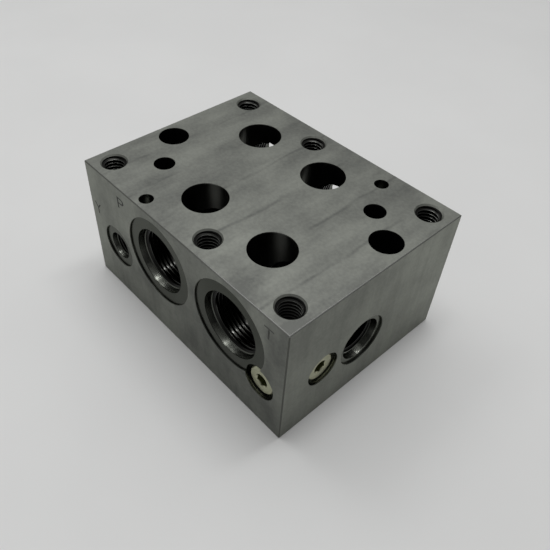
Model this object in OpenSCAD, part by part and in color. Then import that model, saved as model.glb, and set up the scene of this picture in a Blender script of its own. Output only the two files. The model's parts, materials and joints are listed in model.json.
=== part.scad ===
// Hydraulic valve subplate. The valve bolts to the top face, hoses join the O-ring ports on the
// front and back, a relief cartridge screws into the right face, and drillings inside the block
// join them. Two drillings that only serve to reach the inside are closed by screwed plugs.
// The origin is at the middle of the base, +X is to the right and -Y is the front.

/* [Block] */
// Length of the block, left to right
block_l = 152.4; // [148:0.1:170]
// Width of the block, front to back
block_w = 114.3; // [112:0.1:130]
// Height of the block
block_h = 76.2; // [74:0.1:90]
// Chamfer on every outer edge
edge_break = 0.5; // [0.2:0.1:1.5]

/* [Valve bolts] */
// Spacing of the corner bolts along the block
bolt_span_l = 130.2; // [128:0.1:132]
// Spacing of the corner bolts across the block
bolt_span_w = 92.1; // [90:0.1:94]
// Distance of each middle bolt from the centre line
middle_bolt_x = 11.9; // [10:0.1:14]
// Thread diameter
bolt_thread_d = 12.7; // [10:0.1:14]
// Diameter of the countersink at the mouth
bolt_mouth_d = 14.2; // [13:0.1:16]
// Depth of the thread
bolt_thread_depth = 26; // [20:0.5:28]
// Diameter of the tap drill below the thread
bolt_drill_d = 10.7; // [8:0.1:12]
// Depth of the tap drill
bolt_drill_depth = 30; // [26:0.5:32]

/* [Valve ports] */
// Diameter of the four main holes
main_hole_d = 23.4; // [18:0.1:25]
// Distance of the inner main holes from the centre line
inner_hole_x = 11.9; // [10:0.1:14]
// Distance of the outer main holes from the centre line
outer_hole_x = 35.7; // [34:0.1:38]
// Distance of the two rows of main holes from the centre line
main_hole_y = 28.55; // [27:0.05:30]
// Diameter of the two pilot holes
pilot_hole_d = 11.2; // [8:0.1:12]
// Distance of the pilot holes from the middle, along the block
pilot_hole_x = 47.6; // [46:0.1:50]
// Distance of the pilot holes from the middle, across the block
pilot_hole_y = 27; // [25:0.1:29]

/* [Locating pin holes] */
// Diameter
pin_hole_d = 7.5; // [5:0.1:8]
// Depth
pin_hole_depth = 8; // [5:0.5:10]
// Front hole, along the block
front_pin_x = -29.4; // [-31:0.1:-28]
// Front hole, across the block
front_pin_y = -50.85; // [-51.5:0.05:-49]
// Back hole, along the block
back_pin_x = 35.7; // [34:0.1:37]
// Back hole, across the block
back_pin_y = 46.05; // [44:0.05:48]

/* [Fixing holes] */
// Distance of the fixing holes from the middle, along the block
fixing_x = 65.1; // [64:0.1:66]
// Right hole, across the block
right_fixing_y = 14.3; // [14:0.1:17]
// Left hole, across the block
left_fixing_y = -8.1; // [-12:0.1:-5]
// Diameter of the counterbore for the screw's head
fixing_head_d = 16.5; // [14:0.1:17]
// Depth of the counterbore
fixing_head_depth = 25; // [15:0.5:28]
// Diameter of the clear hole for the screw's shank
fixing_shank_d = 10.5; // [8:0.1:11]

/* [Main side ports] */
// Depth of the port's axis below the valve face
main_port_drop = 27.7; // [27:0.1:29]
// Distance of the inner ports from the centre line
inner_port_x = 14.9; // [14:0.1:16.5]
// Distance of the outer ports from the centre line
outer_port_x = 38.9; // [38:0.1:40]
// Diameter of the spot face
main_spot_d = 48.7; // [44:0.1:50]
// Depth of the spot face
main_spot_depth = 0.8; // [0.2:0.1:1.5]
// Diameter of the O-ring seat at its mouth
main_seat_d = 35.6; // [35:0.1:37]
// Depth of the O-ring seat
main_seat_depth = 3.3; // [2:0.1:3.8]
// Thread diameter
main_thread_d = 33.34; // [32:0.01:33.6]
// Depth of the thread
main_thread_depth = 19.8; // [16:0.1:22]
// Diameter of the tap drill below the thread
main_drill_d = 31.1; // [28:0.1:31.5]
// Depth of the tap drill
main_drill_depth = 23.7; // [22:0.1:26]
// Diameter of the gallery that runs on into the block
gallery_d = 25.4; // [22:0.1:26]

/* [Pilot side ports] */
// Distance of the pilot ports from the middle, along the block
pilot_port_x = 53.1; // [52:0.1:56]
// Height of the pilot ports above the relief cavity's axis
pilot_port_rise = 0.6; // [-1:0.05:2]
// Diameter of the spot face
pilot_spot_d = 25; // [22:0.1:27]
// Depth of the spot face
pilot_spot_depth = 0.9; // [0.2:0.1:1.5]
// Diameter of the O-ring seat at its mouth
pilot_seat_d = 15.8; // [15.5:0.1:17]
// Depth of the O-ring seat
pilot_seat_depth = 2.5; // [1.5:0.1:2.8]
// Thread diameter
pilot_thread_d = 14.29; // [13.5:0.01:14.4]
// Depth of the thread
pilot_thread_depth = 12.7; // [10:0.1:14]
// Diameter of the tap drill below the thread
pilot_drill_d = 12.9; // [12:0.1:13.2]
// Depth of the tap drill
pilot_drill_depth = 15.5; // [14.5:0.1:18]
// Diameter of the drilling that runs on to the pilot hole
pilot_gallery_d = 10; // [8:0.1:11.5]

/* [Relief cavity] */
// Height of the cavity's axis above the base
relief_z = 31.75; // [30:0.05:33]
// Place of the cavity across the block
relief_y = -5; // [-6:0.1:-4]
// Diameter of the spot face
relief_spot_d = 29.4; // [27:0.1:32]
// Depth of the spot face
relief_spot_depth = 1.1; // [0.5:0.1:2.5]
// Diameter of the O-ring seat at its mouth
relief_seat_d = 24; // [23.8:0.1:26]
// Depth of the O-ring seat
relief_seat_depth = 3.4; // [2:0.1:3.8]
// Thread diameter
relief_thread_d = 22.2; // [21:0.1:22.4]
// Depth of the thread
relief_thread_depth = 11.2; // [9:0.1:12]
// Diameter of the chamber below the thread
relief_chamber_d = 20.3; // [18:0.1:20.8]
// Depth of the chamber
relief_chamber_depth = 27; // [25:0.5:30]
// Diameter of the bore for the cartridge's nose
relief_nose_d = 15.9; // [15:0.1:17]
// Depth of the nose bore
relief_nose_depth = 46; // [40:0.5:50]
// Diameter of the drilling that runs on to the pressure gallery
relief_feed_d = 14; // [12:0.1:14.8]

/* [Plugged drillings] */
// Distance of the front plug from the right face
front_plug_inset = 15.6; // [14:0.1:17]
// Distance of the front plug below the cavity's axis
front_plug_drop = 3.25; // [2:0.05:5]
// Distance of the side plug in front of the row of main holes
side_plug_offset = 3.55; // [0:0.05:5]
// Height of the side plug above the cavity's axis
side_plug_rise = 1.05; // [-1:0.05:2]
// Diameter of the drillings behind the plugs
return_d = 8; // [6:0.1:9]

/* [Plugs] */
// Diameter of the recess round the head
plug_recess_d = 18.9; // [16:0.1:20]
// Depth of the plug's face below the block's face
plug_set_in = 1.7; // [0.5:0.1:3]
// Diameter of the head
plug_head_d = 15.2; // [13.6:0.1:15.8]
// Height of the head
plug_head_h = 2.5; // [1.5:0.1:4]
// Chamfer round the head's face
plug_head_bevel = 0.5; // [0.2:0.1:1]
// Diameter of the neck that carries the O-ring
plug_neck_d = 8.8; // [8.4:0.1:9.4]
// Thread diameter
plug_thread_d = 11.11; // [10.5:0.01:11.4]
// Length of the plug below its head
plug_shank_l = 9.1; // [7:0.1:11]
// Chamfer at the end of the plug's thread
plug_end_bevel = 0.8; // [0.3:0.1:1.2]
// Size of the hexagon socket across its flats
hex_across = 6.35; // [5:0.05:6.6]
// Depth of the hexagon socket
hex_depth = 5; // [3:0.1:6]
// Diameter of the countersink at the socket's mouth
hex_mouth_d = 7.5; // [7.4:0.1:8.5]
// Diameter of the drilling in the socket
hex_drill_d = 5.9; // [4:0.1:6]
// Depth of the drilling in the socket
hex_drill_depth = 6; // [3:0.1:7]
// Angle that the front plug's hexagon came to when it was tightened
front_plug_turn = 30; // [0:1:60]
// Diameter of the O-ring seat at its mouth
plug_seat_d = 12.4; // [12.2:0.1:13]
// Depth of the O-ring seat
plug_seat_depth = 2.4; // [2:0.1:2.6]
// Depth of the thread below the recess
plug_thread_depth = 11.5; // [11.3:0.1:13]
// Diameter of the tap drill below the thread
plug_drill_d = 9.9; // [9.2:0.1:10.2]
// Depth of the tap drill below the recess
plug_drill_depth = 14; // [13.5:0.1:16]
// Room between the plug's thread and its hole, on each side
thread_clearance = 0.1; // [0.02:0.01:0.15]
// Room between an O-ring and each wall that it seals
seal_clearance = 0.03; // [0.01:0.01:0.1]

/* [Drilling] */
// Slope of every O-ring seat, from the port's axis
seat_angle = 12; // [10:0.5:14]
// Full angle of the drills' points
drill_point_angle = 118; // [110:1:140]
// How far a drilling runs on past the hole that it meets
drill_past = 1.5; // [0.5:0.1:3]

/* [Hidden] */
$fn = 96;

// How far a cutting shape stands out of the face that it cuts
overrun = 1;
// Depth of a drill's point for each unit of its radius
point_rise = 1 / tan(drill_point_angle / 2);

main_port_z = block_h - main_port_drop;
gallery_depth = block_w / 2 - main_hole_y + main_hole_d / 2 + drill_past;
pilot_gallery_depth = block_w / 2 - pilot_hole_y + pilot_hole_d / 2 + drill_past;
pressure_gallery_depth = block_w / 2 + relief_y + relief_feed_d / 2 + drill_past;
relief_feed_depth = block_l / 2 + inner_port_x;

pilot_port_z = relief_z + pilot_port_rise;
front_plug_x = block_l / 2 - front_plug_inset;
front_plug_z = relief_z - front_plug_drop;
side_plug_y = -main_hole_y - side_plug_offset;
side_plug_z = relief_z + side_plug_rise;
front_return_depth = block_w / 2 + relief_y;
side_return_depth = block_l / 2 - outer_hole_x;
tank_hole_depth = block_h - side_plug_z + return_d / 2 + drill_past;

plug_recess_depth = plug_set_in + plug_head_h;
// The O-ring's section touches the neck, the head and the sloping seat
seal_room = (plug_seat_d - plug_neck_d) / 2;
seal_section_r = seal_room * cos(seat_angle) / (1 + cos(seat_angle) + sin(seat_angle));
seal_ring_r = plug_neck_d / 2 + seal_section_r;

// Places on the faces: the mouth of a hole is at the origin and its depth runs down -Z
module on_top(x, y) {
    translate([x, y, block_h]) children();
}

module on_front(x, z) {
    translate([x, -block_w / 2, z]) rotate([90, 0, 0]) children();
}

module on_right(y, z) {
    translate([block_l / 2, y, z]) rotate([0, 90, 0]) children();
}

module at_front_plug() {
    on_front(front_plug_x, front_plug_z) children();
}

module at_side_plug() {
    on_right(side_plug_y, side_plug_z) children();
}

// A hole turned from its outline, a list of [diameter, depth] corners from the mouth inwards,
// which ends in a drill's point
module turned_hole(corners) {
    mouth_r = corners[0][0] / 2;
    last = corners[len(corners) - 1];
    tip = last[1] + last[0] / 2 * point_rise;
    wall = [for (c = corners) [c[0] / 2, -c[1]]];
    rotate_extrude()
        polygon(concat([[0, overrun], [mouth_r, overrun]], wall, [[0, -tip]]));
}

// Corners of an O-ring port: spot face, sloping seat, lead-in and thread
function port_corners(spot_d, spot_depth, seat_d, seat_depth, thread_d, thread_depth) =
    let (
        seat_foot_d = seat_d - 2 * seat_depth * tan(seat_angle),
        seat_foot = spot_depth + seat_depth,
        thread_top = seat_foot + (seat_foot_d - thread_d) / 2
    )
    [
        [spot_d, 0], [spot_d, spot_depth],
        [seat_d, spot_depth], [seat_foot_d, seat_foot],
        [thread_d, thread_top], [thread_d, spot_depth + thread_depth],
    ];

// Corners that step from a hole of one diameter down to a drilling of another
function step_corners(from_d, from_depth, to_d, to_depth) =
    [[to_d, from_depth + (from_d - to_d) / 2 * point_rise], [to_d, to_depth]];

// Corners of a main port whose gallery runs on to the given depth
function main_port_corners(end_depth) = concat(
    port_corners(main_spot_d, main_spot_depth, main_seat_d, main_seat_depth,
                 main_thread_d, main_thread_depth),
    step_corners(main_thread_d, main_spot_depth + main_thread_depth,
                 main_drill_d, main_spot_depth + main_drill_depth),
    step_corners(main_drill_d, main_spot_depth + main_drill_depth, gallery_d, end_depth));

pilot_port_corners = concat(
    port_corners(pilot_spot_d, pilot_spot_depth, pilot_seat_d, pilot_seat_depth,
                 pilot_thread_d, pilot_thread_depth),
    step_corners(pilot_thread_d, pilot_spot_depth + pilot_thread_depth,
                 pilot_drill_d, pilot_spot_depth + pilot_drill_depth),
    step_corners(pilot_drill_d, pilot_spot_depth + pilot_drill_depth,
                 pilot_gallery_d, pilot_gallery_depth));

relief_thread_end = relief_spot_depth + relief_thread_depth;
relief_corners = concat(
    port_corners(relief_spot_d, relief_spot_depth, relief_seat_d, relief_seat_depth,
                 relief_thread_d, relief_thread_depth),
    step_corners(relief_thread_d, relief_thread_end, relief_chamber_d, relief_chamber_depth),
    step_corners(relief_chamber_d, relief_chamber_depth, relief_nose_d, relief_nose_depth),
    step_corners(relief_nose_d, relief_nose_depth, relief_feed_d, relief_feed_depth));

bolt_corners = concat(
    [[bolt_mouth_d, 0], [bolt_thread_d, (bolt_mouth_d - bolt_thread_d) / 2],
     [bolt_thread_d, bolt_thread_depth]],
    step_corners(bolt_thread_d, bolt_thread_depth, bolt_drill_d, bolt_drill_depth));

fixing_corners = [
    [fixing_head_d, 0], [fixing_head_d, fixing_head_depth],
    [fixing_shank_d, fixing_head_depth], [fixing_shank_d, block_h + overrun],
];

// Corners of a plugged drilling that runs on to the given depth
function plug_hole_corners(return_depth) = concat(
    port_corners(plug_recess_d, plug_recess_depth, plug_seat_d, plug_seat_depth,
                 plug_thread_d, plug_thread_depth),
    step_corners(plug_thread_d, plug_recess_depth + plug_thread_depth,
                 plug_drill_d, plug_recess_depth + plug_drill_depth),
    step_corners(plug_drill_d, plug_recess_depth + plug_drill_depth, return_d, return_depth));

module chamfered_rectangle(l, w) {
    x = l / 2;
    y = w / 2;
    c = edge_break;
    polygon([
        [-x + c, -y], [x - c, -y], [x, -y + c], [x, y - c],
        [x - c, y], [-x + c, y], [-x, y - c], [-x, -y + c],
    ]);
}

// The block before drilling, with every outer edge chamfered
module sawn_block() {
    translate([0, 0, block_h / 2])
        intersection() {
            linear_extrude(block_h, center = true)
                chamfered_rectangle(block_l, block_w);
            rotate([90, 0, 0])
                linear_extrude(block_w, center = true)
                    chamfered_rectangle(block_l, block_h);
            rotate([90, 0, 90])
                linear_extrude(block_l, center = true)
                    chamfered_rectangle(block_w, block_h);
        }
}

// Half of the circuit: two main ports and a pilot port on one face, and their holes in the valve
// face. The other half is the same, turned half a turn, but for the two depths given here.
module half_circuit(inner_gallery_depth, outer_hole_depth) {
    on_front(-inner_port_x, main_port_z) turned_hole(main_port_corners(inner_gallery_depth));
    on_front(outer_port_x, main_port_z) turned_hole(main_port_corners(gallery_depth));
    on_front(-pilot_port_x, pilot_port_z) turned_hole(pilot_port_corners);
    on_top(-inner_hole_x, -main_hole_y)
        turned_hole([[main_hole_d, 0], [main_hole_d, main_port_drop]]);
    on_top(outer_hole_x, -main_hole_y)
        turned_hole([[main_hole_d, 0], [main_hole_d, outer_hole_depth]]);
    on_top(-pilot_hole_x, -pilot_hole_y)
        turned_hole([[pilot_hole_d, 0], [pilot_hole_d, block_h - pilot_port_z]]);
    for (x = [-bolt_span_l / 2, middle_bolt_x, bolt_span_l / 2])
        on_top(x, -bolt_span_w / 2) turned_hole(bolt_corners);
}

// The front half holds the pressure gallery, which the relief cavity's nose opens into, and the
// tank hole, which the plugged drillings lead back to from the cavity's chamber
module relief_circuit() {
    half_circuit(pressure_gallery_depth, tank_hole_depth);
    on_right(relief_y, relief_z) turned_hole(relief_corners);
    at_front_plug() turned_hole(plug_hole_corners(front_return_depth));
    at_side_plug() turned_hole(plug_hole_corners(side_return_depth));
}

module locating_and_fixing_holes() {
    for (place = [[front_pin_x, front_pin_y], [back_pin_x, back_pin_y]])
        on_top(place.x, place.y) turned_hole([[pin_hole_d, 0], [pin_hole_d, pin_hole_depth]]);
    for (place = [[fixing_x, right_fixing_y], [-fixing_x, left_fixing_y]])
        on_top(place.x, place.y) turned_hole(fixing_corners);
}

module subplate_block() {
    color([0.45, 0.46, 0.43])
        difference() {
            sawn_block();
            relief_circuit();
            rotate(180) half_circuit(gallery_depth, main_port_drop);
            locating_and_fixing_holes();
        }
}

// A hollow-hexagon plug, with the underside of its head at the origin
module plug() {
    head_r = plug_head_d / 2;
    neck_r = plug_neck_d / 2;
    shank_r = plug_thread_d / 2 - thread_clearance;
    thread_top = -plug_seat_depth - (shank_r - neck_r);
    socket_d = hex_across / cos(30);
    difference() {
        rotate_extrude()
            polygon([
                [0, plug_head_h], [head_r - plug_head_bevel, plug_head_h],
                [head_r, plug_head_h - plug_head_bevel], [head_r, 0],
                [neck_r, 0], [neck_r, -plug_seat_depth],
                [shank_r, thread_top], [shank_r, -plug_shank_l + plug_end_bevel],
                [shank_r - plug_end_bevel, -plug_shank_l], [0, -plug_shank_l],
            ]);
        translate([0, 0, plug_head_h - hex_depth])
            cylinder(d = socket_d, h = hex_depth + overrun, $fn = 6);
        translate([0, 0, plug_head_h])
            turned_hole([
                [hex_mouth_d, 0], [hex_drill_d, (hex_mouth_d - hex_drill_d) / 2],
                [hex_drill_d, hex_drill_depth],
            ]);
    }
}

// The plug's O-ring, pressed into the room between head, neck and seat
module plug_seal() {
    translate([0, 0, -seal_section_r])
        rotate_extrude()
            translate([seal_ring_r, 0])
                circle(r = seal_section_r - seal_clearance);
}

module front_plug() {
    color([0.70, 0.69, 0.52])
        at_front_plug() translate([0, 0, -plug_recess_depth]) rotate(front_plug_turn) plug();
}

module side_plug() {
    color([0.70, 0.69, 0.52])
        at_side_plug() translate([0, 0, -plug_recess_depth]) plug();
}

module front_plug_seal() {
    color([0.10, 0.10, 0.10])
        at_front_plug() translate([0, 0, -plug_recess_depth]) plug_seal();
}

module side_plug_seal() {
    color([0.10, 0.10, 0.10])
        at_side_plug() translate([0, 0, -plug_recess_depth]) plug_seal();
}

subplate_block();
front_plug();
side_plug();
front_plug_seal();
side_plug_seal();
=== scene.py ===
"""Looks of the hydraulic valve subplate: a ground iron block with tapped and O-ring ports, closed
by two yellow zinc-plated plugs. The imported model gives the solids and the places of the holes. This
script adds the threads and the stamped port letters, the finishes, the floor, the light and the camera.

Lengths are in metres, and colours are linear.
"""

import json
from math import pi, radians

import bmesh
import bpy
from mathutils import Matrix, Vector


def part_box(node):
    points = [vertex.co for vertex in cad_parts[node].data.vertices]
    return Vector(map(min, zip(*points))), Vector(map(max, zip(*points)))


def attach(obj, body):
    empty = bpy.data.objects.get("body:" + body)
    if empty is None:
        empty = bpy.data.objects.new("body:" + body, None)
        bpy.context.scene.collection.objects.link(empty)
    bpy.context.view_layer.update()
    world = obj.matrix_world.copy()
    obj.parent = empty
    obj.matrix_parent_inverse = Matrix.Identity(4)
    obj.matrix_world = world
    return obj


MM = 0.001
INCH = 25.4 * MM

# Camera, at the photograph's viewing angle
CAMERA_PLACE = Vector((174.3, -169.86, 259.94)) * MM
CAMERA_TURN = (45.252, -1.534, 48.357)  # degrees
CAMERA_LENS = 39.952  # in millimetres, as the sensor's width is
CAMERA_SENSOR = 36
CAMERA_SHIFT = (0.0396, -0.0123)
CAMERA_NEAR = 10 * MM

# Light and floor
LONG_LAMP = {"place": (0.03, 0.12, 1.1), "width": 0.14, "length": 0.74, "turn": -21, "power": 3.9}
LEFT_LAMP = {"place": (-0.62, -0.12, 0.95), "width": 0.35, "length": 0.35, "turn": 0, "power": 1.5}
GLOW_TOWARD = (-0.42, 0.25, 0.872)  # the room is brightest high behind the block, to the left
GLOW_STRENGTH = 0.95
GLOW_FALL = 4  # a larger number makes the bright part smaller
WALL_STRENGTH = 0.52  # at the horizon
CEILING_STRENGTH = 0.2
WALL_RISE = 0.32  # the sine of the angle at which the walls end
FLOOR_HALF = 2.5
FLOOR_PAINTED_GLOW = 0.05  # painted light: the floor glows a little though it is no lamp, which lightens the shadow at the block's foot

# Threads: a pitch for each size of hole, and a ridge's shape as shares of its pitch
MAIN_PITCH = INCH / 12
PILOT_PITCH = INCH / 18
RELIEF_PITCH = INCH / 14
BOLT_PITCH = INCH / 13
BOLT_THREAD_LENGTH = 25.2 * MM
RELIEF_THREAD_STOP = 1.5 * MM  # the relief thread ends before the return drilling breaks in
RIDGE_HEIGHT = 0.541
RIDGE_FOOT = 7 / 16  # half its width at the wall
RIDGE_CREST = 1 / 8  # half its width at the top
RIDGE_SUNK = 0.02 * MM  # how far a ridge's foot lies inside the wall
RIDGE_SHARP = 25  # degrees: sharper edges aren't smoothed
PORT_STEPS = 96  # steps in a turn
BOLT_STEPS = 64
HOLE_MARGIN = 0.2 * MM  # a ridge ends this far outside a hole that crosses it

# Stamped port letters, thin dark sheets of painted shade that stand in for the stamps' shaded grooves:
# places are along the face and up it, as seen on the front
LETTER_WIDE = 5.9 * MM
LETTER_HIGH = 7.0 * MM
LETTER_PROUD = 0.02 * MM
LETTER_THINNING = -0.004  # of the letter's size
LETTER_WELD = 1e-5  # of the letter's size
INNER_LETTER = (-44.1 * MM, 67.0 * MM)
OUTER_LETTER = (64.8 * MM, 67.2 * MM)
PILOT_LETTER = (-69.6 * MM, 48.8 * MM)

# Colours
IRON = (0.31, 0.322, 0.287, 1)
IRON_DARK = (0.128, 0.132, 0.123, 1)
IRON_EDGE_TINT = (0.76, 0.77, 0.74, 1)  # of a reflection at a flat angle
SIDE_EDGE = (0.095, 0.098, 0.089, 1)
TOP_EDGE = (0.21, 0.216, 0.198, 1)
# Worn top edges, made brighter still by a painted highlight at the near right
WORN_HIGHLIT_EDGE = (0.5, 0.505, 0.485, 1)
SPOT_IRON = (0.04, 0.043, 0.036, 1)
# Worn spot faces; the same colour is painted shade on the far side of the relief cavity's seat
SPOT_WORN_AND_SEAT_SHADE = (0.062, 0.065, 0.058, 1)
BORED_IRON = (0.085, 0.089, 0.079, 1)
# Painted highlights: the bottom of a port's seat, and the near side of the relief cavity's seat
SEAT_PAINTED_HIGHLIGHT = (0.23, 0.24, 0.215, 1)
RELIEF_SEAT_PAINTED_HIGHLIGHT = (0.3, 0.31, 0.28, 1)
# Painted shade on bored walls deep in the holes
DEEP_PAINTED_SHADE = (0.056, 0.057, 0.052, 1)
TAPPED_IRON = (0.018, 0.018, 0.017, 1)
# Lighter thread crests: partly wear, partly a painted highlight
PORT_CREST = (0.09, 0.092, 0.086, 1)
BOLT_CREST = (0.11, 0.113, 0.105, 1)
ZINC = (0.45, 0.456, 0.325, 1)
ZINC_DULL = (0.37, 0.37, 0.24, 1)
# Painted shade deep in the plugs' hexagon sockets
SOCKET_PAINTED_SHADE = (0.07, 0.076, 0.024, 1)
RUBBER = (0.012, 0.012, 0.012, 1)
RUBBER_DUSTY = (0.02, 0.02, 0.02, 1)
# Painted shade of the stamped grooves, deep and faint
DEEP_STAMP_SHADE = (0.02, 0.02, 0.018, 1)
FAINT_STAMP_SHADE = (0.075, 0.077, 0.07, 1)
FLOOR = (0.66, 0.663, 0.657, 1)
FLOOR_DULL = (0.64, 0.643, 0.637, 1)
WHITE = (1, 1, 1, 1)

# How much each mark on the block's ground faces darkens them, and how much the painted shade on the front's
# lower right darkens them
DARKENING = {"marks": 0.16, "level": 0.22, "stain": 0.28, "cloud": 0.3, "grain": 0.15,
             "drag": 0.28, "film": 0.27}

# Where the block's finish changes: each pair is where the change starts and ends
GROUND_SKIN = (0.3 * MM, 0.7 * MM)  # inside any face, from ground to bored metal
EDGE_WIDTH = (0.5 * MM, 0.6 * MM)
COUNTERSINK_BELOW_TOP = (0.9 * MM, 0.8 * MM)
TOP_EDGE_BELOW_TOP = (1.2 * MM, 0.6 * MM)
WORN_HIGHLIT_EDGE_BELOW_TOP = (0.35 * MM, 0.2 * MM)
WORN_HIGHLIT_EDGE_X = (5 * MM, 42 * MM)
WORN_HIGHLIT_EDGE_Y = (-45 * MM, 45 * MM)
WORN_HIGHLIT_EDGE_LEAST = 0.4  # what is left of the wear and the painted highlight at the back
SEAT_DEPTH = (1.0 * MM, 1.25 * MM)  # inside an upright face, as the next two are
SEAT_WALL_DEPTH = (1.3 * MM, 1.6 * MM)
# Past these depths the holes' walls take painted shade
DEEP_DEPTH = (4.2 * MM, 6 * MM)
RIGHT_FACE_DEPTH = (5 * MM, 4.6 * MM)
RELIEF_FAR_SIDE = (2.5 * MM, 5.5 * MM)  # behind the relief cavity's axis, where its seat is darkened as painted shade

# How far a face must be turned, as the part of its normal along one axis
LEVEL_FACING = (0.7, 0.9)  # up or down
COUNTERSINK_FACING = (0.5, 0.6)  # up, as the next is
# A port seat turned up this far gets a painted highlight
SEAT_HIGHLIGHT_FACING = (0.58, 0.8)
END_FACING = (0.5, 0.7)  # left or right

# Marks on the block
DRAG_SPACING = 11.9 * MM  # grinding drags faint lines along the top, in line with the rows of holes
DRAG_WANDER = 9 * MM
DRAG_WIDTH = 1.5 * MM
PAINTED_SHADE_X = (-30 * MM, 10 * MM)  # along the front's upper edge; lower down the painted shade starts farther left
PAINTED_SHADE_X_ON_TOP = 40 * MM  # on the top it starts this much farther right
PAINTED_SHADE_BACK = -36 * MM  # the Y at which it ends on the top
MARKS_HEIGHT = 0.02 * MM
MARKS_STRENGTH = 0.15
TURNED_PITCH = 0.2 * MM  # fine grooves that turning leaves round the relief cavity's seat
TURNED_HEIGHT = 1.2  # of the grinding marks' height

# Roughness, and what the marks and the zones inside add to the block's
GROUND_ROUGH = 0.33
MARKS_ROUGH = 0.14
BORED_ROUGH = 0.2
SEAT_ROUGH = 0.05
RELIEF_ROUGH = -0.06
DEEP_ROUGH = 0.09
FLANK_ROUGH = 0.4
PORT_CREST_ROUGH = 0.15
BOLT_CREST_ROUGH = 0.3
ZINC_ROUGH = (0.3, 0.42)  # clean and stained, as the next two are
RUBBER_ROUGH = (0.5, 0.62)
STAMP_ROUGH = (0.5, 0.6)
FLOOR_ROUGH = 0.6

# Threads, plugs and letters
TAPPED_STAIN = 0.3  # the share of the stains that shows, as the next two are
ZINC_STAIN = 0.35
STAMP_STAIN = 0.3
STAMP_METALLIC = 0.8
CREST_RISE = (0.8, 1)  # of the ridge's height, from its flank to its crest
CREST_DEPTH = (5 * MM, 11 * MM)  # painted shade: a thread's crests darken between these depths
CREST_SHADED_LEAST = 0.15
SOCKET_REACH = (7.0 * MM, 7.4 * MM)  # from the middle of a plug
SOCKET_DEPTH = (2.1 * MM, 2.7 * MM)
SOCKET_METALLIC = 0.3  # deep in the socket, whose colour is darkened as painted shade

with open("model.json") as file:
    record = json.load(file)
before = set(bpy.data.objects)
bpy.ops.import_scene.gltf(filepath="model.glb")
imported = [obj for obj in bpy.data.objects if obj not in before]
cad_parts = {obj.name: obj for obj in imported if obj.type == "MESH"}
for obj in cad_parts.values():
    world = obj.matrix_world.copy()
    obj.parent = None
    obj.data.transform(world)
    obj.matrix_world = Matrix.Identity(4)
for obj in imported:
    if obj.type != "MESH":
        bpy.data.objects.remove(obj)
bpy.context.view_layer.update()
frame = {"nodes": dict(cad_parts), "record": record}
block_low, block_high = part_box("subplate_block")
mounts = {m["name"]: m for m in frame["record"]["mounts"]}


# Small helpers for shader nodes

def add(tree, kind, **settings):
    """A new node with its settings."""
    node = tree.nodes.new(kind)
    for key, value in settings.items():
        setattr(node, key, value)
    return node


def feed(tree, socket, value):
    """Links another node's output to a socket, or sets the socket to a plain value."""
    if isinstance(value, bpy.types.NodeSocket):
        tree.links.new(value, socket)
    else:
        socket.default_value = value


def feed_all(tree, node, values):
    """Feeds a node's sockets by their names."""
    for name, value in values.items():
        feed(tree, node.inputs[name], value)


def calc(tree, operation, *values):
    """The result of a Math node."""
    node = add(tree, "ShaderNodeMath", operation=operation)
    for socket, value in zip(node.inputs, values):
        feed(tree, socket, value)
    return node.outputs[0]


def all_of(tree, first, *others):
    """The product of several masks."""
    for mask in others:
        first = calc(tree, "MULTIPLY", first, mask)
    return first


def ramp(tree, value, low, high, to_low=0.0, to_high=1.0):
    """A smooth change from to_low to to_high while a value goes from low to high."""
    node = add(tree, "ShaderNodeMapRange", interpolation_type="SMOOTHSTEP")
    feed_all(tree, node, {"Value": value, "From Min": low, "From Max": high,
                          "To Min": to_low, "To Max": to_high})
    return node.outputs["Result"]


def fade(tree, value, low, high):
    """From 1 down to 0 while a value goes from low to high."""
    return ramp(tree, value, low, high, 1, 0)


def mix(tree, share, a, b):
    """Colour a, turned into colour b by a share."""
    node = add(tree, "ShaderNodeMix", data_type="RGBA")
    sockets = {s.identifier: s for s in node.inputs}
    feed(tree, sockets["Factor_Float"], share)
    feed(tree, sockets["A_Color"], a)
    feed(tree, sockets["B_Color"], b)
    return next(s for s in node.outputs if s.identifier == "Result_Color")


def split(tree, vector):
    """A vector's X, Y and Z."""
    node = add(tree, "ShaderNodeSeparateXYZ")
    feed(tree, node.inputs[0], vector)
    return node.outputs


def scaled(tree, vector, scale):
    """A vector, stretched or squeezed along each axis."""
    node = add(tree, "ShaderNodeMapping")
    feed_all(tree, node, {"Vector": vector, "Scale": scale})
    return node.outputs["Vector"]


def noise(tree, vector, scale, detail=3.0, roughness=0.5):
    """Noise of that scale at a place."""
    node = add(tree, "ShaderNodeTexNoise")
    feed_all(tree, node, {"Vector": vector, "Scale": scale, "Detail": detail, "Roughness": roughness})
    return node.outputs["Fac"]


def new_group(name, inputs, output):
    """A node group with its inputs and the socket of its one output, which is a mask."""
    group = bpy.data.node_groups.new(name, "ShaderNodeTree")
    for socket, kind in inputs.items():
        group.interface.new_socket(socket, in_out="INPUT", socket_type=kind)
    group.interface.new_socket(output, in_out="OUTPUT", socket_type="NodeSocketFloat")
    return group, add(group, "NodeGroupInput").outputs, add(group, "NodeGroupOutput").inputs[output]


def place_group(tree, group, **values):
    """A group's mask for these inputs."""
    node = add(tree, "ShaderNodeGroup", node_tree=group)
    feed_all(tree, node, values)
    return node.outputs[0]


def new_material(name):
    """A material with one shader, and the place on the object that its patterns read."""
    material = bpy.data.materials.new(name)
    material.use_nodes = True
    tree = material.node_tree
    tree.nodes.clear()
    shader = add(tree, "ShaderNodeBsdfPrincipled")
    output = add(tree, "ShaderNodeOutputMaterial")
    tree.links.new(shader.outputs["BSDF"], output.inputs["Surface"])
    place = add(tree, "ShaderNodeTexCoord").outputs["Object"]
    return material, tree, shader, place


# Effects that several finishes share

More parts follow.
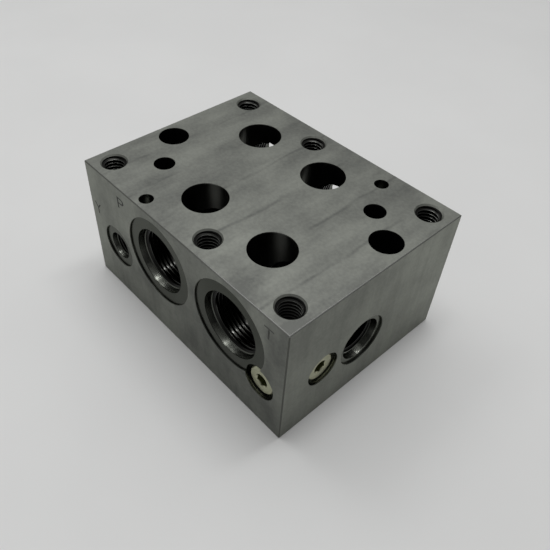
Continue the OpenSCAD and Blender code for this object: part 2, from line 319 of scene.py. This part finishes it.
def make_streak_group():
    """Long fine marks left by grinding and milling, along Y on level faces and up the sides."""
    group, inside, marks = new_group(
        "machining_marks", {"Vector": "NodeSocketVector", "Level": "NodeSocketFloat"}, "Marks")
    along = noise(group, scaled(group, inside["Vector"], (1, 0.06, 1)), scale=150, detail=4, roughness=0.55)
    up = noise(group, scaled(group, inside["Vector"], (1, 1, 0.08)), scale=150, detail=4, roughness=0.55)
    change = calc(group, "SUBTRACT", along, up)
    group.links.new(calc(group, "MULTIPLY_ADD", inside["Level"], change, up), marks)
    return group


def make_smudge_group():
    """Broad soft stains, as oil and handling leave on bare metal."""
    group, inside, smudge = new_group(
        "oil_smudges", {"Vector": "NodeSocketVector", "Scale": "NodeSocketFloat"}, "Smudge")
    blotches = noise(group, inside["Vector"], inside["Scale"])
    group.links.new(ramp(group, blotches, 0.3, 0.7), smudge)
    return group


streaks = make_streak_group()
smudges = make_smudge_group()


# Finishes

def depths_in_block(tree, place):
    """A point's distances from the nearest of the block's upright faces, from the nearest of all its
    faces, and from the second nearest."""
    middle = (block_low + block_high) / 2
    half = (block_high - block_low) / 2
    from_face = []
    for part, part_middle, part_half in zip(split(tree, place), middle, half):
        from_middle = calc(tree, "ABSOLUTE", calc(tree, "SUBTRACT", part, part_middle))
        from_face.append(calc(tree, "SUBTRACT", part_half, from_middle))
    x_depth, y_depth, z_depth = from_face
    side = calc(tree, "MINIMUM", x_depth, y_depth)
    other_side = calc(tree, "MAXIMUM", x_depth, y_depth)
    nearest = calc(tree, "MINIMUM", side, z_depth)
    second = calc(tree, "MAXIMUM", side, calc(tree, "MINIMUM", other_side, z_depth))
    return side, nearest, second


def near_top(tree, z, start, end):
    """From 0 to 1 while a point rises between two depths below the block's top."""
    return ramp(tree, z, block_high.z - start, block_high.z - end)


def drag_lines(tree, place, level):
    """Wandering broken lines along the level faces, an odd number of spacings from the middle."""
    x, _, _ = split(tree, place)
    wander = noise(tree, scaled(tree, place, (1, 0.4, 1)), scale=45, detail=2)
    line_x = calc(tree, "MULTIPLY_ADD", wander, DRAG_WANDER, x)
    from_first = calc(tree, "ADD", line_x, 5 * DRAG_SPACING - DRAG_WANDER / 2)
    off_line = calc(tree, "PINGPONG", from_first, DRAG_SPACING)
    unbroken = ramp(tree, noise(tree, scaled(tree, place, (1, 0.5, 1)), scale=70, detail=2), 0.42, 0.62)
    return all_of(tree, fade(tree, off_line, 0, DRAG_WIDTH), level, unbroken)


def front_painted_shade(tree, place, level, normal_x):
    """Painted shade on the front's lower right and on the near corner of the top."""
    x, y, z = split(tree, place)
    start, full = PAINTED_SHADE_X
    low_right = calc(tree, "MULTIPLY_ADD", level, -PAINTED_SHADE_X_ON_TOP, calc(tree, "SUBTRACT", x, z))
    spread = ramp(tree, low_right, start - block_high.z, full - block_high.z)
    in_front = fade(tree, y, block_low.y, PAINTED_SHADE_BACK)
    off_ends = fade(tree, calc(tree, "ABSOLUTE", normal_x), *END_FACING)
    return all_of(tree, spread, in_front, off_ends)


def ground_colour(tree, place, marks, stain, level, normal_x):
    """Ground iron, darkened by every mark on it and by painted shade on the front's lower right."""
    cloud = place_group(tree, smudges, Vector=scaled(tree, place, (1, 0.45, 0.7)), Scale=75.0)
    grain = noise(tree, place, scale=620, detail=3, roughness=0.6)
    masks = {
        "marks": ramp(tree, marks, 0.3, 0.7),
        "level": level,
        "stain": stain,
        "cloud": cloud,
        "grain": ramp(tree, grain, 0.32, 0.68),
        "drag": drag_lines(tree, place, level),
        "film": front_painted_shade(tree, place, level, normal_x),
    }
    dark = 0.0
    for name, share in DARKENING.items():
        dark = calc(tree, "MULTIPLY_ADD", masks[name], share, dark)
    return mix(tree, dark, IRON, IRON_DARK)


def edge_colour(tree, place):
    """Broken edges: dark on the sides, paler at the top, and at its near right worn bright with a painted
    highlight.
    """
    x, y, z = split(tree, place)
    edge = mix(tree, near_top(tree, z, *TOP_EDGE_BELOW_TOP), SIDE_EDGE, TOP_EDGE)
    # Wear and a painted highlight on the near right top edges
    worn = all_of(tree, ramp(tree, x, *WORN_HIGHLIT_EDGE_X), near_top(tree, z, *WORN_HIGHLIT_EDGE_BELOW_TOP),
                  ramp(tree, y, *WORN_HIGHLIT_EDGE_Y, 1, WORN_HIGHLIT_EDGE_LEAST))
    return mix(tree, worn, edge, WORN_HIGHLIT_EDGE)


def seat_colour_painted_light(tree, place, normal_z, side_depth, on_right):
    """Sloping seats with painted light: a port's has a painted highlight at its bottom, and the relief
    cavity's has a painted highlight on its near side and painted shade on its far side.
    """
    _, y, _ = split(tree, place)
    port_seat_highlit = mix(tree, ramp(tree, normal_z, *SEAT_HIGHLIGHT_FACING), BORED_IRON, SEAT_PAINTED_HIGHLIGHT)
    relief_y = mounts["relief_cavity"]["pos_m"][1]
    start, end = RELIEF_FAR_SIDE
    painted_shade_far_side = all_of(tree, ramp(tree, side_depth, *SEAT_WALL_DEPTH),
                      ramp(tree, y, relief_y + start, relief_y + end))
    relief_seat = mix(tree, painted_shade_far_side, RELIEF_SEAT_PAINTED_HIGHLIGHT, SPOT_WORN_AND_SEAT_SHADE)
    return mix(tree, on_right, port_seat_highlit, relief_seat)


def make_ground_iron():
    """The block: ground outside, bored and darker inside, with broken edges."""
    material, tree, shader, place = new_material("ground_iron")
    x, _, z = split(tree, place)
    normal_x, _, normal_z = split(tree, add(tree, "ShaderNodeNewGeometry").outputs["True Normal"])
    side_depth, depth, edge_depth = depths_in_block(tree, place)
    level = ramp(tree, calc(tree, "ABSOLUTE", normal_z), *LEVEL_FACING)
    marks = place_group(tree, streaks, Vector=place, Level=level)
    stain = place_group(tree, smudges, Vector=place, Scale=24.0)

    # The countersinks of the bolt holes stay as ground as the top
    countersunk = all_of(tree, ramp(tree, normal_z, *COUNTERSINK_FACING),
                         near_top(tree, z, *COUNTERSINK_BELOW_TOP))
    bored = calc(tree, "SUBTRACT", ramp(tree, depth, *GROUND_SKIN), countersunk)
    bored = calc(tree, "MAXIMUM", bored, 0)
    seat = ramp(tree, side_depth, *SEAT_DEPTH)
    deep = ramp(tree, side_depth, *DEEP_DEPTH)
    right_start, right_end = RIGHT_FACE_DEPTH
    on_right = ramp(tree, x, block_high.x - right_start, block_high.x - right_end)
    relief_seat = all_of(tree, seat, on_right)

    ground = ground_colour(tree, place, marks, stain, level, normal_x)
    ground = mix(tree, fade(tree, edge_depth, *EDGE_WIDTH), ground, edge_colour(tree, place))
    spot = mix(tree, stain, SPOT_IRON, SPOT_WORN_AND_SEAT_SHADE)
    inside = mix(tree, seat, spot, seat_colour_painted_light(tree, place, normal_z, side_depth, on_right))
    # Painted shade deeper in the holes
    inside = mix(tree, deep, inside, DEEP_PAINTED_SHADE)

    ground_rough = calc(tree, "MULTIPLY_ADD", marks, MARKS_ROUGH, GROUND_ROUGH)
    inside_rough = BORED_ROUGH
    for part, share in ((seat, SEAT_ROUGH), (relief_seat, RELIEF_ROUGH), (deep, DEEP_ROUGH)):
        inside_rough = calc(tree, "MULTIPLY_ADD", part, share, inside_rough)
    rougher = calc(tree, "SUBTRACT", inside_rough, ground_rough)

    grooves = calc(tree, "SINE", calc(tree, "MULTIPLY", side_depth, 2 * pi / TURNED_PITCH))
    groove_height = calc(tree, "MULTIPLY", relief_seat, TURNED_HEIGHT)
    ground_marks = calc(tree, "MULTIPLY", marks, calc(tree, "SUBTRACT", 1, bored))
    bump = add(tree, "ShaderNodeBump")
    feed_all(tree, bump, {
        "Strength": MARKS_STRENGTH,
        "Distance": MARKS_HEIGHT,
        "Height": calc(tree, "MULTIPLY_ADD", grooves, groove_height, ground_marks),
    })
    feed_all(tree, shader, {
        "Base Color": mix(tree, bored, ground, inside),
        "Roughness": calc(tree, "MULTIPLY_ADD", bored, rougher, ground_rough),
        "Metallic": 1.0,
        "Specular Tint": IRON_EDGE_TINT,
        "Normal": bump.outputs["Normal"],
    })
    return material


def make_tapped_iron(name, crest_colour, crest_roughness):
    """Thread ridges, with crests lighter near the mouth of the hole, partly worn and partly a painted
    highlight, and darkened deeper in as painted shade.
    """
    material, tree, shader, place = new_material(name)
    crest = add(tree, "ShaderNodeAttribute", attribute_name="crest").outputs["Fac"]
    _, depth, _ = depths_in_block(tree, place)
    stain = place_group(tree, smudges, Vector=place, Scale=90.0)
    # Crests are lighter near the mouth as wear and painted highlight, and darker deeper in as painted shade
    bright = all_of(tree, ramp(tree, crest, *CREST_RISE), ramp(tree, depth, *CREST_DEPTH, 1, CREST_SHADED_LEAST))
    ridge = mix(tree, bright, TAPPED_IRON, crest_colour)
    feed_all(tree, shader, {
        "Base Color": mix(tree, calc(tree, "MULTIPLY", stain, TAPPED_STAIN), ridge, TAPPED_IRON),
        "Roughness": ramp(tree, crest, 0, 1, FLANK_ROUGH, crest_roughness),
        "Metallic": 1.0,
    })
    return material


def make_yellow_zinc():
    """The plugs: plated, with painted shade deep in their hexagon sockets."""
    material, tree, shader, place = new_material("yellow_zinc")
    _, depth, _ = depths_in_block(tree, place)
    stain = place_group(tree, smudges, Vector=place, Scale=260.0)
    plated = mix(tree, calc(tree, "MULTIPLY", stain, ZINC_STAIN), ZINC, ZINC_DULL)
    near_middle = 0.0
    for node in ("front_plug", "side_plug"):
        low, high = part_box(node)
        away = add(tree, "ShaderNodeVectorMath", operation="DISTANCE")
        feed(tree, away.inputs[0], place)
        feed(tree, away.inputs[1], (low + high) / 2)
        near_middle = calc(tree, "ADD", fade(tree, away.outputs["Value"], *SOCKET_REACH), near_middle)
    # Painted shade deep in each socket
    socket = all_of(tree, ramp(tree, depth, *SOCKET_DEPTH), near_middle)
    feed_all(tree, shader, {
        "Base Color": mix(tree, socket, plated, SOCKET_PAINTED_SHADE),
        "Roughness": ramp(tree, stain, 0, 1, *ZINC_ROUGH),
        "Metallic": ramp(tree, socket, 0, 1, 1, SOCKET_METALLIC),
    })
    return material


def make_seal_rubber():
    """The plugs' O-rings."""
    material, tree, shader, place = new_material("seal_rubber")
    stain = place_group(tree, smudges, Vector=place, Scale=400.0)
    feed_all(tree, shader, {
        "Base Color": mix(tree, stain, RUBBER, RUBBER_DUSTY),
        "Roughness": ramp(tree, stain, 0, 1, *RUBBER_ROUGH),
    })
    return material


def make_stamped_iron(name, colour):
    """The floor of a stamped letter, darkened as painted shade for its groove, with stains."""
    material, tree, shader, place = new_material(name)
    stain = place_group(tree, smudges, Vector=place, Scale=600.0)
    feed_all(tree, shader, {
        "Base Color": mix(tree, calc(tree, "MULTIPLY", stain, STAMP_STAIN), colour, IRON_DARK),
        "Roughness": ramp(tree, stain, 0, 1, *STAMP_ROUGH),
        "Metallic": STAMP_METALLIC,
    })
    return material


def make_pale_floor():
    """A plain pale floor with a faint painted glow, though it is no lamp."""
    material, tree, shader, place = new_material("pale_floor")
    stain = place_group(tree, smudges, Vector=place, Scale=9.0)
    feed_all(tree, shader, {
        "Base Color": mix(tree, stain, FLOOR, FLOOR_DULL),
        "Roughness": FLOOR_ROUGH,
        "Emission Color": WHITE,
        "Emission Strength": FLOOR_PAINTED_GLOW,
    })
    return material


ground_iron = make_ground_iron()
tapped_ports = make_tapped_iron("tapped_ports", PORT_CREST, PORT_CREST_ROUGH)
tapped_bolt_holes = make_tapped_iron("tapped_bolt_holes", BOLT_CREST, BOLT_CREST_ROUGH)
yellow_zinc = make_yellow_zinc()
seal_rubber = make_seal_rubber()
deep_stamp = make_stamped_iron("deep_stamp", DEEP_STAMP_SHADE)
faint_stamp = make_stamped_iron("faint_stamp", FAINT_STAMP_SHADE)

cad_finishes = {
    "subplate_block": ground_iron,
    "front_plug": yellow_zinc,
    "side_plug": yellow_zinc,
    "front_plug_seal": seal_rubber,
    "side_plug_seal": seal_rubber,
}
for node, finish in cad_finishes.items():
    cad = frame["nodes"][node]
    cad.data.materials.clear()
    cad.data.materials.append(finish)


# Pieces

def new_object(name, data):
    """An object in the scene."""
    made = bpy.data.objects.new(name, data)
    bpy.context.scene.collection.objects.link(made)
    return made


def new_mesh_object(name, bm, finish):
    """An object with a finished shape and its finish."""
    mesh = bpy.data.meshes.new(name)
    bm.to_mesh(mesh)
    bm.free()
    mesh.materials.append(finish)
    return new_object(name, mesh)


def new_piece(name, bm, finish):
    """A piece of the block, which it rides on."""
    piece = new_mesh_object(name, bm, finish)
    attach(piece, "root")
    return piece


def cap_open_ends(bm):
    """Closes every open end of a ridge."""
    bmesh.ops.holes_fill(bm, edges=[e for e in bm.edges if e.is_boundary], sides=0)


def cut_level(bm, depth, keep_below):
    """Cuts a ridge square to its axis at a depth, and closes the cut."""
    bmesh.ops.bisect_plane(bm, geom=bm.verts[:] + bm.edges[:] + bm.faces[:], plane_co=(0, 0, -depth),
                           plane_no=(0, 0, 1 if keep_below else -1), clear_outer=True)
    cap_open_ends(bm)


def thread_ridge(radius, pitch, length, steps):
    """A right-hand ridge that winds down a hole's wall, with the thread's top at the origin and its
    axis up Z. Its crest rises out of the wall along a 45 degree cone, as a countersunk thread does."""
    height = RIDGE_HEIGHT * pitch
    foot = RIDGE_FOOT * pitch
    crest = RIDGE_CREST * pitch
    turns = int(length / pitch) + 2
    start = -length - pitch / 2
    bm = bmesh.new()
    corners = [(radius + RIDGE_SUNK, -foot), (radius - height, -crest),
               (radius - height, crest), (radius + RIDGE_SUNK, foot)]
    ring = [bm.verts.new((r, 0, start + z)) for r, z in corners]
    edges = [bm.edges.new((ring[i], ring[i - 1])) for i in range(len(ring))]
    bmesh.ops.spin(bm, geom=ring + edges, axis=(0, 0, 1), cent=(0, 0, 0), dvec=(0, 0, pitch / steps),
                   angle=turns * 2 * pi, steps=turns * steps)
    cap_open_ends(bm)
    cut_level(bm, 0, keep_below=True)
    cut_level(bm, length, keep_below=False)
    for vert in bm.verts:
        across = vert.co.xy.length
        least = radius - max(0, -vert.co.z)
        if across < least:
            vert.co.xy *= least / across
    crest_layer = bm.verts.layers.float.new("crest")
    for vert in bm.verts:
        vert[crest_layer] = min(1, max(0, (radius - vert.co.xy.length) / height))
    return bm


def set_in_hole(bm, mouth, outward):
    """Turns a ridge from the Z axis to the hole's own axis and moves it there."""
    turn = Vector((0, 0, 1)).rotation_difference(outward).to_matrix().to_4x4()
    bmesh.ops.transform(bm, matrix=Matrix.Translation(mouth) @ turn, verts=bm.verts)


def open_for_hole(bm, hole):
    """Takes away what lies across a valve hole that runs down through the thread."""
    axis = Vector(hole["pos_m"]).xy
    reach = hole["dims"]["r_mm"] * MM + HOLE_MARGIN
    bottom = block_high.z - hole["dims"]["length_mm"] * MM
    across = []
    for face in bm.faces:
        middle = face.calc_center_median()
        if (middle.xy - axis).length < reach and middle.z > bottom:
            across.append(face)
    bmesh.ops.delete(bm, geom=across, context="FACES")
    cap_open_ends(bm)


def add_thread(name, ridge, top, outward, finish, hole=None):
    """One thread, copied from a ridge of its size."""
    bm = ridge.copy()
    set_in_hole(bm, top, outward)
    if hole:
        open_for_hole(bm, hole)
    bmesh.ops.recalc_face_normals(bm, faces=bm.faces)
    piece = new_piece(name, bm, finish)
    piece.data.shade_smooth()
    piece.data.set_sharp_from_angle(angle=radians(RIDGE_SHARP))


def add_port_threads(ports, pitch, stop=0.0):
    """The threads of ports of one size, each with the valve hole that crosses it or none. A port's
    place is the middle of its thread's wall."""
    dims = mounts[next(iter(ports))]["dims"]
    length = dims["length_mm"] * MM
    ridge = thread_ridge(dims["r_mm"] * MM, pitch, length - stop, PORT_STEPS)
    for name, hole in ports.items():
        outward = Vector(mounts[name]["axis"])
        top = Vector(mounts[name]["pos_m"]) + outward * length / 2
        add_thread(f"{name}_thread", ridge, top, outward, tapped_ports, mounts.get(hole))
    ridge.free()


def add_bolt_threads():
    """The threads of the six valve bolts, whose places follow from the two bolt patterns."""
    corners = mounts["valve_bolts_corners"]
    x = corners["dims"]["spacing_x_mm"] / 2 * MM
    y = corners["dims"]["spacing_y_mm"] / 2 * MM
    middle_reach = mounts["valve_bolts_middle"]["dims"]["pcd_mm"] / 2 * MM
    middle_x = (middle_reach ** 2 - y ** 2) ** 0.5
    places = {
        "front_left": (-x, -y), "front_middle": (middle_x, -y), "front_right": (x, -y),
        "back_left": (-x, y), "back_middle": (-middle_x, y), "back_right": (x, y),
    }
    ridge = thread_ridge(corners["dims"]["hole_r_mm"] * MM, BOLT_PITCH, BOLT_THREAD_LENGTH, BOLT_STEPS)
    for name, place in places.items():
        top = Vector((*place, corners["pos_m"][2]))
        add_thread(f"valve_bolt_thread_{name}", ridge, top, Vector((0, 0, 1)), tapped_bolt_holes)
    ridge.free()


def letter_shape(letter):
    """A letter lying flat, centred on the origin and of the stamp's size."""
    text = bpy.data.curves.new(f"letter_{letter}", "FONT")
    text.body = letter
    text.align_x = "CENTER"
    text.align_y = "CENTER"
    text.offset = LETTER_THINNING
    drawn = bpy.data.objects.new(text.name, text)
    mesh = bpy.data.meshes.new_from_object(drawn)
    bpy.data.objects.remove(drawn)
    bpy.data.curves.remove(text)
    bm = bmesh.new()
    bm.from_mesh(mesh)
    bpy.data.meshes.remove(mesh)
    bmesh.ops.remove_doubles(bm, verts=bm.verts, dist=LETTER_WELD)
    low = min(v.co.y for v in bm.verts)
    high = max(v.co.y for v in bm.verts)
    left = min(v.co.x for v in bm.verts)
    right = max(v.co.x for v in bm.verts)
    sized = Matrix.Diagonal((LETTER_WIDE / (right - left), LETTER_HIGH / (high - low), 1, 1))
    centred = Matrix.Translation((-(left + right) / 2, -(low + high) / 2, 0))
    bmesh.ops.transform(bm, matrix=sized @ centred, verts=bm.verts)
    return bm


def add_letter(letter, place, finish, back):
    """A port letter on the front face, or at the place half a turn away on the back."""
    along, height = place
    bm = letter_shape(letter)
    upright = Matrix.Rotation(pi / 2, 4, "X")
    on_front = Matrix.Translation((along, block_low.y - LETTER_PROUD, height))
    half_turn = Matrix.Rotation(pi if back else 0, 4, "Z")
    bmesh.ops.transform(bm, matrix=half_turn @ on_front @ upright, verts=bm.verts)
    new_piece(f"stamped_letter_{letter}", bm, finish)


add_port_threads({"pressure_port": "valve_hole_p", "tank_port": "valve_hole_t",
                  "work_port_a": "valve_hole_a", "work_port_b": "valve_hole_b"}, MAIN_PITCH)
add_port_threads({"pilot_port_y": None, "pilot_port_x": None}, PILOT_PITCH)
add_port_threads({"relief_cavity": None}, RELIEF_PITCH, RELIEF_THREAD_STOP)
add_bolt_threads()

port_letters = [
    ("P", "A", INNER_LETTER, deep_stamp),
    ("T", "B", OUTER_LETTER, faint_stamp),
    ("Y", "X", PILOT_LETTER, deep_stamp),
]
for front_letter, back_letter, place, finish in port_letters:
    add_letter(front_letter, place, finish, back=False)
    add_letter(back_letter, place, finish, back=True)


# Floor, light and camera

def add_floor():
    """A floor that reaches past the picture on every side."""
    bm = bmesh.new()
    bmesh.ops.create_grid(bm, x_segments=1, y_segments=1, size=FLOOR_HALF)
    floor = new_mesh_object("floor", bm, make_pale_floor())


def add_lamp(name, place, width, length, turn, power):
    """A soft box that faces down, its length turned that many degrees from the Y axis."""
    lamp = bpy.data.lights.new(name, "AREA")
    lamp.shape = "RECTANGLE"
    lamp.size = width
    lamp.size_y = length
    lamp.energy = power
    box = new_object(name, lamp)
    box.location = place
    box.rotation_euler = (0, 0, radians(turn))


def add_world():
    """A dim room: pale walls, a darker ceiling and a soft glow at one place of it."""
    world = bpy.data.worlds.new("studio")
    bpy.context.scene.world = world
    world.use_nodes = True
    tree = world.node_tree
    direction = add(tree, "ShaderNodeTexCoord").outputs["Generated"]
    _, _, rise = split(tree, direction)
    toward = add(tree, "ShaderNodeVectorMath", operation="DOT_PRODUCT")
    feed(tree, toward.inputs[0], direction)
    feed(tree, toward.inputs[1], GLOW_TOWARD)
    glow = calc(tree, "POWER", calc(tree, "MAXIMUM", toward.outputs["Value"], 0), GLOW_FALL)
    walls = ramp(tree, calc(tree, "ABSOLUTE", rise), 0, WALL_RISE, WALL_STRENGTH, CEILING_STRENGTH)
    feed_all(tree, tree.nodes["Background"], {
        "Color": WHITE,
        "Strength": calc(tree, "MULTIPLY_ADD", glow, GLOW_STRENGTH, walls),
    })


def add_camera():
    """The camera, at the photograph's viewing angle."""
    data = bpy.data.cameras.new("camera")
    data.sensor_width = CAMERA_SENSOR
    data.lens = CAMERA_LENS
    data.shift_x, data.shift_y = CAMERA_SHIFT
    data.clip_start = CAMERA_NEAR
    camera = new_object("camera", data)
    camera.location = CAMERA_PLACE
    camera.rotation_euler = [radians(a) for a in CAMERA_TURN]
    bpy.context.scene.camera = camera


add_floor()
add_lamp("long_lamp", **LONG_LAMP)
add_lamp("left_lamp", **LEFT_LAMP)
add_world()
add_camera()
bpy.context.scene.view_settings.view_transform = "Standard"
